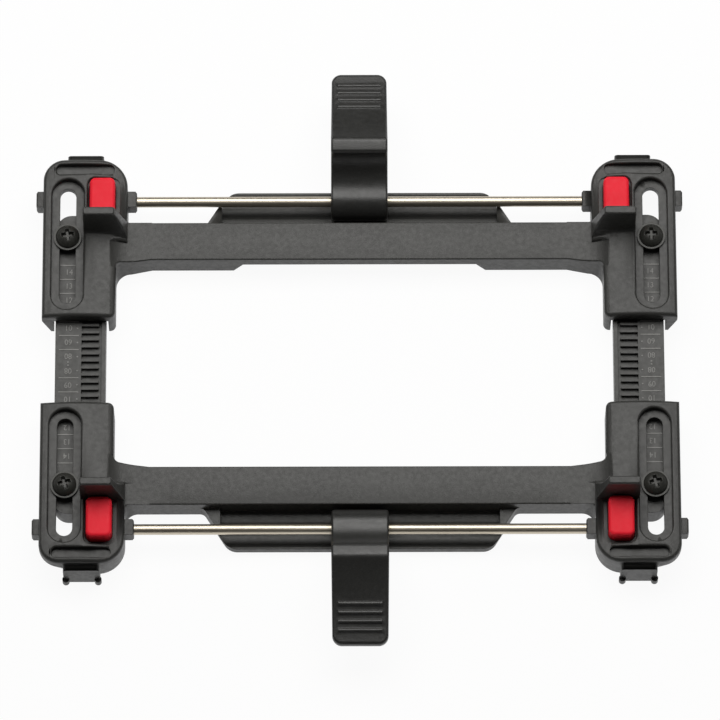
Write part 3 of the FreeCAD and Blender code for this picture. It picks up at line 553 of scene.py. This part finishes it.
def mark_bar(end, sign, tree):
    """Lines, numbers and dots of one bar; its outer half is its inner half turned round."""
    middle = (LINE_INNER + LINE_OUTER) / 2
    height = BAR_TOP + MARK_HEIGHT / 2 - MARK_SINK
    lines, numbers = [], []
    for half in SIDES.values():
        first_line = Vector((sign * middle, half * MARK_PITCH, height))
        lines.append(grow_mesh(f"{end}_lines", tree, {
            "Count": LINE_COUNT,
            "First": first_line,
            "Pitch": Vector((0.0, half * MARK_PITCH, 0.0)),
            "Block": Vector((LINE_OUTER - LINE_INNER, LINE_WIDTH, MARK_HEIGHT)),
            "Finish": mark_finish,
        }))
        for step in range(LINE_COUNT):
            where = Vector((sign * NUMBER_X, half * (step + 0.5) * MARK_PITCH, height))
            numbers.append(number_mesh(FIRST_NUMBER + step, where, 0.0 if half > 0 else math.pi))
    dots = [
        grow_mesh(f"{end}_dots", tree, {
            "Count": 2,
            "First": Vector((sign * NUMBER_X, -DOT_PITCH / 2, height)),
            "Pitch": Vector((0.0, DOT_PITCH, 0.0)),
            "Block": Vector((DOT_SIZE, DOT_SIZE, MARK_HEIGHT)),
            "Finish": mark_finish,
        }),
        grow_mesh(f"{end}_pips", tree, {
            "Count": 2 * LINE_COUNT,
            "First": Vector((sign * (LINE_INNER + PIP_SIZE), (0.5 - LINE_COUNT) * MARK_PITCH, height)),
            "Pitch": Vector((0.0, MARK_PITCH, 0.0)),
            "Block": Vector((PIP_SIZE, PIP_SIZE, MARK_HEIGHT)),
            "Finish": mark_finish,
        }),
    ]
    return [
        one_piece(f"{end}_scale_lines", lines, mark_finish),
        one_piece(f"{end}_scale_numbers", numbers, mark_finish),
        one_piece(f"{end}_scale_dots", dots, mark_finish),
    ]


row_tree = mark_row_tree("raised_mark_row")
for end, sign in ENDS.items():
    for piece in mark_bar(end, sign, row_tree):
        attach(piece, "scale_bars")


# Studio: lengths in metres

FLOOR_HALF, FLOOR_DROP = 30.0, 0.2 * MM
FLOOR_WHITE = 0.94
ROOM_LOW, ROOM_HIGH = 0.015, 0.10
IMAGE_WIDTH, SENSOR_WIDTH = 720, 36.0
SIGHT_HEIGHT = 9.0 * MM


def pale_floor(name):
    """White sweep: seen white, but still shaded by what stands on it."""
    finish = bpy.data.materials.new(name)
    finish.use_nodes = True
    tree = finish.node_tree
    tree.nodes.clear()
    seen = add_node(tree, "ShaderNodeLightPath")
    straight = add_node(tree, "ShaderNodeMath", operation="ADD", use_clamp=True)
    link(tree, seen.outputs["Is Camera Ray"], straight.inputs[0])
    link(tree, seen.outputs["Is Glossy Ray"], straight.inputs[1])
    either = add_node(tree, "ShaderNodeMath", operation="ADD", use_clamp=True)
    link(tree, straight.outputs["Value"], either.inputs[0])
    link(tree, seen.outputs["Is Transmission Ray"], either.inputs[1])
    white = add_node(tree, "ShaderNodeEmission", Color=(1.0, 1.0, 1.0, 1.0), Strength=1.0)
    chalk = add_node(tree, "ShaderNodeBsdfDiffuse", Color=(0.95, 0.95, 0.95, 1.0))
    share = add_node(tree, "ShaderNodeMath", operation="MULTIPLY")
    share.inputs[1].default_value = FLOOR_WHITE
    link(tree, either.outputs["Value"], share.inputs[0])
    mix = add_node(tree, "ShaderNodeMixShader")
    link(tree, share.outputs["Value"], mix.inputs["Fac"])
    link(tree, chalk.outputs["BSDF"], mix.inputs[1])
    link(tree, white.outputs["Emission"], mix.inputs[2])
    output = add_node(tree, "ShaderNodeOutputMaterial")
    link(tree, mix.outputs["Shader"], output.inputs["Surface"])
    return finish


def lay_floor():
    """A wide white floor just under the object, kept out of its pieces."""
    sweep = bmesh.new()
    bmesh.ops.create_grid(sweep, x_segments=1, y_segments=1, size=FLOOR_HALF)
    mesh = bpy.data.meshes.new("floor")
    sweep.to_mesh(mesh)
    sweep.free()
    mesh.transform(Matrix.Translation((0.0, 0.0, -FLOOR_DROP)))
    mesh.materials.append(pale_floor("white_sweep"))
    floor = plain_piece("floor", mesh)


def light_room():
    """World: a dim room, brighter overhead; the white behind the object is the floor."""
    world = bpy.data.worlds.new("studio_room")
    bpy.context.scene.world = world
    world.use_nodes = True
    tree = world.node_tree
    tree.nodes.clear()
    direction = add_node(tree, "ShaderNodeTexCoord").outputs["Generated"]
    split = add_node(tree, "ShaderNodeSeparateXYZ")
    link(tree, direction, split.inputs["Vector"])
    lift = spread(tree, split.outputs["Z"], ROOM_LOW, ROOM_HIGH, start=0.1, stop=1.0)
    room = add_node(tree, "ShaderNodeBackground", Color=(1.0, 1.0, 1.0, 1.0))
    link(tree, lift, room.inputs["Strength"])
    output = add_node(tree, "ShaderNodeOutputWorld")
    link(tree, room.outputs["Background"], output.inputs["Surface"])


def aim(thing, place, target, up=Vector((0.0, 1.0, 0.0))):
    """Stand a lamp or the camera at a place, facing the target, with up at its top."""
    back = (Vector(place) - Vector(target)).normalized()
    right = up.cross(back).normalized()
    top = back.cross(right)
    thing.matrix_world = Matrix.Translation(place) @ Matrix((right, top, back)).transposed().to_4x4()


def hang_softbox(name, place, target, width, depth, power):
    """A rectangular lamp of the given size and power in watts, facing the target."""
    lamp = bpy.data.lights.new(name, "AREA")
    lamp.shape = "RECTANGLE"
    lamp.size, lamp.size_y = width, depth
    lamp.energy = power
    lamp.color = (1.0, 0.99, 0.97)
    softbox = plain_piece(name, lamp)
    aim(softbox, place, target)


def set_camera():
    """Long lens at the photograph's viewing angle: nearly overhead, from the right side."""
    azimuth, height, roll = (math.radians(angle) for angle in (-0.099, 69.423, -0.031))
    distance, focus, shift_right, shift_up = 2.3331, 7031.9, 0.248, 3.189  # the last three in pixels
    back = Vector((math.sin(azimuth) * math.cos(height), -math.cos(azimuth) * math.cos(height), math.sin(height)))
    right = Vector((math.cos(azimuth), math.sin(azimuth), 0.0))
    top = Matrix.Rotation(roll, 3, back) @ back.cross(right)
    target = Vector((0.0, 0.0, SIGHT_HEIGHT)) + (shift_right * right + shift_up * top) * distance / focus
    lens = bpy.data.cameras.new("camera")
    lens.sensor_width = SENSOR_WIDTH
    lens.lens = SENSOR_WIDTH * focus / IMAGE_WIDTH
    lens.clip_end = 100.0
    camera = plain_piece("camera", lens)
    aim(camera, target + distance * back, target, top)
    bpy.context.scene.camera = camera


lay_floor()
light_room()
hang_softbox(
    "overhead_softbox", place=(0.0, 0.30, 0.68), target=(0.0, 0.0, 0.0), width=1.0, depth=0.50, power=6.2)
set_camera()
bpy.context.scene.view_settings.view_transform = "Standard"
